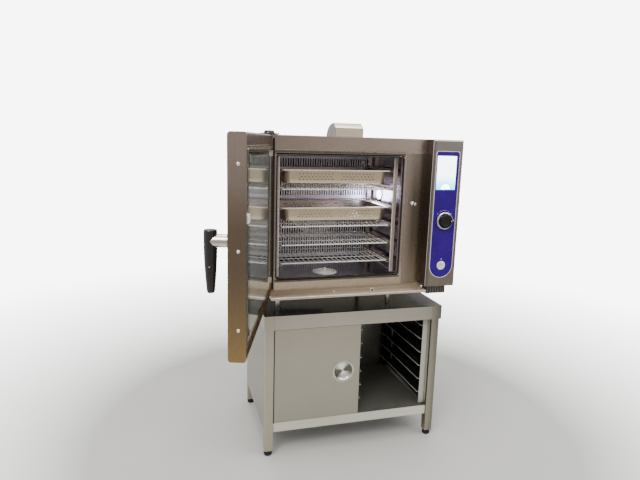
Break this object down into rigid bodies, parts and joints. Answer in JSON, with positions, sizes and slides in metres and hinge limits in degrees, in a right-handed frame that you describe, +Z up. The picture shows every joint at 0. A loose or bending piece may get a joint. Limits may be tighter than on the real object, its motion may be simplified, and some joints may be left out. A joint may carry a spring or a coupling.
{
  "type": "combi steamer oven",
  "caption": "Table-top combination steam and convection oven with a side-hinged glass door, pans and wire shelves, on a cabinet stand with tray runners and sliding doors.",
  "frame": {"origin": "middle of the underside of the stand's front left foot", "axes": "+X to the right along the front, +Y from the front to the back, +Z up"},
  "size_m": [1.225, 1.4615, 1.553],
  "materials": {
    "cavity_lamp": "clear",
    "cavity_liner": "satin",
    "control_fascia": "gloss",
    "control_housing": "brushed",
    "display": "glossy",
    "door_casing": "brushed",
    "door_gasket": "matt",
    "door_handle_grip": "gloss",
    "door_handle_neck": "polished",
    "door_hinge_lower": "brushed",
    "door_hinge_upper": "satin",
    "door_inner_glass": "tinted",
    "door_latch": "polished",
    "door_outer_glass": "tinted",
    "drain_strainer": "polished",
    "drip_tray": "brushed",
    "encoder_shaft": "polished",
    "exhaust_hood": "brushed",
    "fan_guard": "satin",
    "fan_motor": "satin",
    "fan_wheel": "satin",
    "gastronorm_pan_1": "satin",
    "gastronorm_pan_3": "satin",
    "heating_coil": "heat darkened",
    "insulation_jacket": "matt",
    "latch_keeper": "polished",
    "oven_back_panel": "brushed",
    "oven_casing": "brushed",
    "oven_chassis": "brushed",
    "oven_foot_front_left": "polished",
    "oven_foot_front_right": "polished",
    "oven_foot_rear_left": "polished",
    "oven_foot_rear_right": "polished",
    "power_button": "gloss",
    "rack_left": "satin",
    "rack_right": "satin",
    "selector_knob": "gloss",
    "sliding_door_front": "brushed",
    "sliding_door_front_cup": "polished",
    "sliding_door_rear": "brushed",
    "sliding_door_rear_cup": "polished",
    "stand_back": "brushed",
    "stand_floor": "brushed",
    "stand_foot_front_left": "matt",
    "stand_foot_front_right": "matt",
    "stand_foot_rear_left": "matt",
    "stand_foot_rear_right": "matt",
    "stand_leg_frame_left": "brushed",
    "stand_leg_frame_right": "brushed",
    "stand_runners_left": "brushed",
    "stand_runners_middle": "brushed",
    "stand_runners_right": "brushed",
    "stand_side_left": "brushed",
    "stand_side_right": "brushed",
    "stand_top": "brushed",
    "steam_generator": "satin",
    "wire_shelf_2": "polished",
    "wire_shelf_4": "polished",
    "wire_shelf_5": "polished",
    "wire_shelf_6": "polished"
  },
  "bodies": {
    "unit": {"cavity_lamp": "cavity_lamp", "cavity_liner": "cavity_liner", "control_fascia": "control_fascia", "control_housing": "control_housing", "display": "display", "door_gasket": "door_gasket", "door_hinge_lower": "door_hinge_lower", "door_hinge_upper": "door_hinge_upper", "drip_tray": "drip_tray", "exhaust_hood": "exhaust_hood", "fan_guard": "fan_guard", "fan_motor": "fan_motor", "heating_coil": "heating_coil", "insulation_jacket": "insulation_jacket", "latch_keeper": "latch_keeper", "oven_back_panel": "oven_back_panel", "oven_casing": "oven_casing", "oven_chassis": "oven_chassis", "rack_left": "rack_left", "rack_right": "rack_right", "stand_back": "stand_back", "stand_floor": "stand_floor", "stand_leg_frame_left": "stand_leg_frame_left", "stand_leg_frame_right": "stand_leg_frame_right", "stand_runners_left": "stand_runners_left", "stand_runners_middle": "stand_runners_middle", "stand_runners_right": "stand_runners_right", "stand_side_left": "stand_side_left", "stand_side_right": "stand_side_right", "stand_top": "stand_top", "steam_generator": "steam_generator"},
    "door": {"door_casing": "door_casing", "door_outer_glass": "door_outer_glass"},
    "door_handle": {"door_handle_grip": "door_handle_grip", "door_handle_neck": "door_handle_neck", "door_latch": "door_latch"},
    "inner_glass": {"door_inner_glass": "door_inner_glass"},
    "encoder": {"encoder_shaft": "encoder_shaft"},
    "knob": {"selector_knob": "selector_knob"},
    "power_button": {"power_button": "power_button"},
    "fan": {"fan_wheel": "fan_wheel"},
    "drain_strainer": {"drain_strainer": "drain_strainer"},
    "sliding_door_front": {"sliding_door_front": "sliding_door_front", "sliding_door_front_cup": "sliding_door_front_cup"},
    "sliding_door_rear": {"sliding_door_rear": "sliding_door_rear", "sliding_door_rear_cup": "sliding_door_rear_cup"},
    "gastronorm_pan_1": {"gastronorm_pan_1": "gastronorm_pan_1"},
    "gastronorm_pan_3": {"gastronorm_pan_3": "gastronorm_pan_3"},
    "wire_shelf_2": {"wire_shelf_2": "wire_shelf_2"},
    "wire_shelf_4": {"wire_shelf_4": "wire_shelf_4"},
    "wire_shelf_5": {"wire_shelf_5": "wire_shelf_5"},
    "wire_shelf_6": {"wire_shelf_6": "wire_shelf_6"},
    "oven_foot_front_left": {"oven_foot_front_left": "oven_foot_front_left"},
    "oven_foot_front_right": {"oven_foot_front_right": "oven_foot_front_right"},
    "oven_foot_rear_left": {"oven_foot_rear_left": "oven_foot_rear_left"},
    "oven_foot_rear_right": {"oven_foot_rear_right": "oven_foot_rear_right"},
    "stand_foot_front_left": {"stand_foot_front_left": "stand_foot_front_left"},
    "stand_foot_front_right": {"stand_foot_front_right": "stand_foot_front_right"},
    "stand_foot_rear_left": {"stand_foot_rear_left": "stand_foot_rear_left"},
    "stand_foot_rear_right": {"stand_foot_rear_right": "stand_foot_rear_right"}
  },
  "joints": [
    {"name": "door_hinge", "type": "hinge", "parent": "unit", "child": "door", "pos_m": [-0.0236, -0.013, 1.137], "axis": [0, 0, -1], "range_deg": [-106.7, 73.3]},
    {"name": "handle_turn", "type": "hinge", "parent": "door", "child": "door_handle", "pos_m": [-0.24935, -0.66106, 1.16], "axis": [0.9578, -0.2874, 0], "range_deg": [0, 60]},
    {"name": "inner_glass_swing", "type": "hinge", "parent": "door", "child": "inner_glass", "pos_m": [-0.01103, -0.05289, 1.14], "axis": [0, 0, 1], "range_deg": [0, 60]},
    {"name": "knob_push", "type": "slide", "parent": "unit", "child": "encoder", "axis": [0, 1, 0], "range_m": [0, 0.0015]},
    {"name": "knob_turn", "type": "hinge", "parent": "encoder", "child": "knob", "pos_m": [0.821, -0.055, 1.113], "axis": [0, 1, 0], "continuous": true},
    {"name": "power_button_push", "type": "slide", "parent": "unit", "child": "power_button", "axis": [0, 1, 0], "range_m": [0, 0.002]},
    {"name": "fan_spin", "type": "hinge", "parent": "unit", "child": "fan", "pos_m": [0.33, 0.5, 1.124], "axis": [0, 1, 0], "continuous": true},
    {"name": "drain_strainer_lift", "type": "slide", "parent": "unit", "child": "drain_strainer", "axis": [0, 0, 1], "range_m": [0, 0.03]},
    {"name": "sliding_door_front_slide", "type": "slide", "parent": "unit", "child": "sliding_door_front", "axis": [1, 0, 0], "range_m": [0, 0.363]},
    {"name": "sliding_door_rear_slide", "type": "slide", "parent": "unit", "child": "sliding_door_rear", "axis": [1, 0, 0], "range_m": [0, 0.363]},
    {"name": "gastronorm_pan_1_slide", "type": "slide", "parent": "unit", "child": "gastronorm_pan_1", "axis": [0, -1, 0], "range_m": [0, 0.3]},
    {"name": "gastronorm_pan_3_slide", "type": "slide", "parent": "unit", "child": "gastronorm_pan_3", "axis": [0, -1, 0], "range_m": [0, 0.3]},
    {"name": "wire_shelf_2_slide", "type": "slide", "parent": "unit", "child": "wire_shelf_2", "axis": [0, -1, 0], "range_m": [0, 0.3]},
    {"name": "wire_shelf_4_slide", "type": "slide", "parent": "unit", "child": "wire_shelf_4", "axis": [0, -1, 0], "range_m": [0, 0.3]},
    {"name": "wire_shelf_5_slide", "type": "slide", "parent": "unit", "child": "wire_shelf_5", "axis": [0, -1, 0], "range_m": [0, 0.3]},
    {"name": "wire_shelf_6_slide", "type": "slide", "parent": "unit", "child": "wire_shelf_6", "axis": [0, -1, 0], "range_m": [0, 0.3]},
    {"name": "oven_foot_front_left_turn", "type": "hinge", "parent": "unit", "child": "oven_foot_front_left", "pos_m": [0.052, 0.06, 0.75], "axis": [0, 0, 1], "range_deg": [-180, 180]},
    {"name": "oven_foot_front_right_turn", "type": "hinge", "parent": "unit", "child": "oven_foot_front_right", "pos_m": [0.596, 0.06, 0.75], "axis": [0, 0, 1], "range_deg": [-180, 180]},
    {"name": "oven_foot_rear_left_turn", "type": "hinge", "parent": "unit", "child": "oven_foot_rear_left", "pos_m": [0.052, 0.48, 0.75], "axis": [0, 0, 1], "range_deg": [-180, 180]},
    {"name": "oven_foot_rear_right_turn", "type": "hinge", "parent": "unit", "child": "oven_foot_rear_right", "pos_m": [0.596, 0.48, 0.75], "axis": [0, 0, 1], "range_deg": [-180, 180]},
    {"name": "stand_foot_front_left_turn", "type": "hinge", "parent": "unit", "child": "stand_foot_front_left", "pos_m": [0, 0, 0.03], "axis": [0, 0, 1], "range_deg": [-180, 180]},
    {"name": "stand_foot_front_right_turn", "type": "hinge", "parent": "unit", "child": "stand_foot_front_right", "pos_m": [0.826, 0, 0.03], "axis": [0, 0, 1], "range_deg": [-180, 180]},
    {"name": "stand_foot_rear_left_turn", "type": "hinge", "parent": "unit", "child": "stand_foot_rear_left", "pos_m": [0, 0.528, 0.03], "axis": [0, 0, 1], "range_deg": [-180, 180]},
    {"name": "stand_foot_rear_right_turn", "type": "hinge", "parent": "unit", "child": "stand_foot_rear_right", "pos_m": [0.826, 0.528, 0.03], "axis": [0, 0, 1], "range_deg": [-180, 180]}
  ]
}
